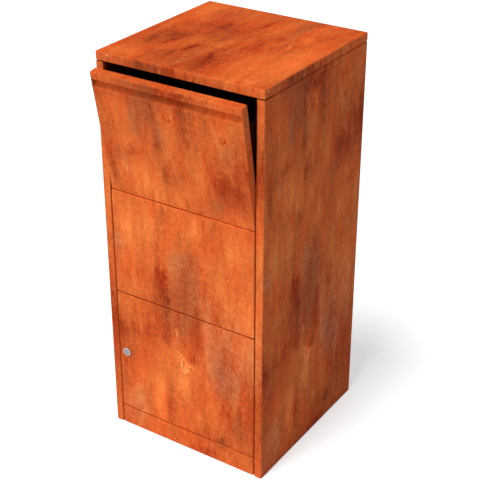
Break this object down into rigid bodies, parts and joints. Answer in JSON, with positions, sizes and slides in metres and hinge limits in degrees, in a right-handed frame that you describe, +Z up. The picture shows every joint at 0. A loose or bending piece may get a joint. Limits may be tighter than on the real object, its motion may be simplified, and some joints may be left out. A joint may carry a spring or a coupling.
{
  "type": "rusty mailbox",
  "caption": "Free-standing rusted steel parcel mailbox with a tilting deposit flap, a fixed middle panel, a lockable retrieval door and a cap lid.",
  "frame": {"origin": "on the ground under the middle of the cabinet, on the floor tray's underside", "axes": "+Z up, -Y towards the front with the flap and the door, +X towards the door's hinge side, on the right as seen from the front"},
  "size_m": [0.44, 0.4904, 0.996],
  "materials": {
    "rusted_steel": "dry orange-brown rust with darker streaks and grey-brown patches, matt",
    "dark_steel": "dark primed steel, matt",
    "lock_zinc": "satin nickel-plated zinc casting",
    "zinc_fastener": "zinc-plated steel, satin",
    "rubber_buffer": "matt black rubber",
    "nylon_washer": "black nylon"
  },
  "bodies": {
    "cabinet": {"side_left": "rusted_steel", "side_right": "rusted_steel", "back_panel": "rusted_steel", "floor_tray": "rusted_steel", "lid": "rusted_steel", "lid_rail_left": "rusted_steel", "lid_rail_right": "rusted_steel", "lid_rail_back": "rusted_steel", "lid_rail_front": "rusted_steel", "middle_panel": "rusted_steel", "plinth_panel": "rusted_steel", "rail_upper": "rusted_steel", "rail_middle": "rusted_steel", "rail_lower": "rusted_steel", "flap_bolt_left": "zinc_fastener", "flap_bolt_right": "zinc_fastener", "flap_nut_left": "zinc_fastener", "flap_nut_right": "zinc_fastener", "flap_spacer_left": "nylon_washer", "flap_spacer_right": "nylon_washer", "flap_buffer_left": "rubber_buffer", "flap_buffer_right": "rubber_buffer", "door_buffer_upper": "rubber_buffer", "door_buffer_lower": "rubber_buffer", "door_washer_top": "nylon_washer", "door_washer_bottom": "nylon_washer"},
    "flap": {"flap_panel": "rusted_steel", "hopper_cheek_left": "dark_steel", "hopper_cheek_right": "dark_steel", "hopper_shelf": "dark_steel", "stop_bolt_left": "zinc_fastener", "stop_bolt_right": "zinc_fastener"},
    "door": {"door_panel": "rusted_steel", "door_pin_top": "zinc_fastener", "door_pin_bottom": "zinc_fastener", "lock_housing": "lock_zinc", "lock_nut": "zinc_fastener"},
    "lock": {"lock_plug": "lock_zinc", "lock_cam": "zinc_fastener", "cam_screw": "zinc_fastener"}
  },
  "joints": [
    {"name": "flap_tilt", "type": "hinge", "parent": "cabinet", "child": "flap", "pos_m": [0, -0.213, 0.6795], "axis": [1, 0, 0], "range_deg": [-10, 30]},
    {"name": "door_swing", "type": "hinge", "parent": "cabinet", "child": "door", "pos_m": [0.188, -0.213, 0.0545], "axis": [0, 0, 1], "range_deg": [0, 110]},
    {"name": "lock_turn", "type": "hinge", "parent": "door", "child": "lock", "pos_m": [-0.1755, -0.22, 0.2225], "axis": [0, 1, 0], "range_deg": [0, 90]}
  ]
}
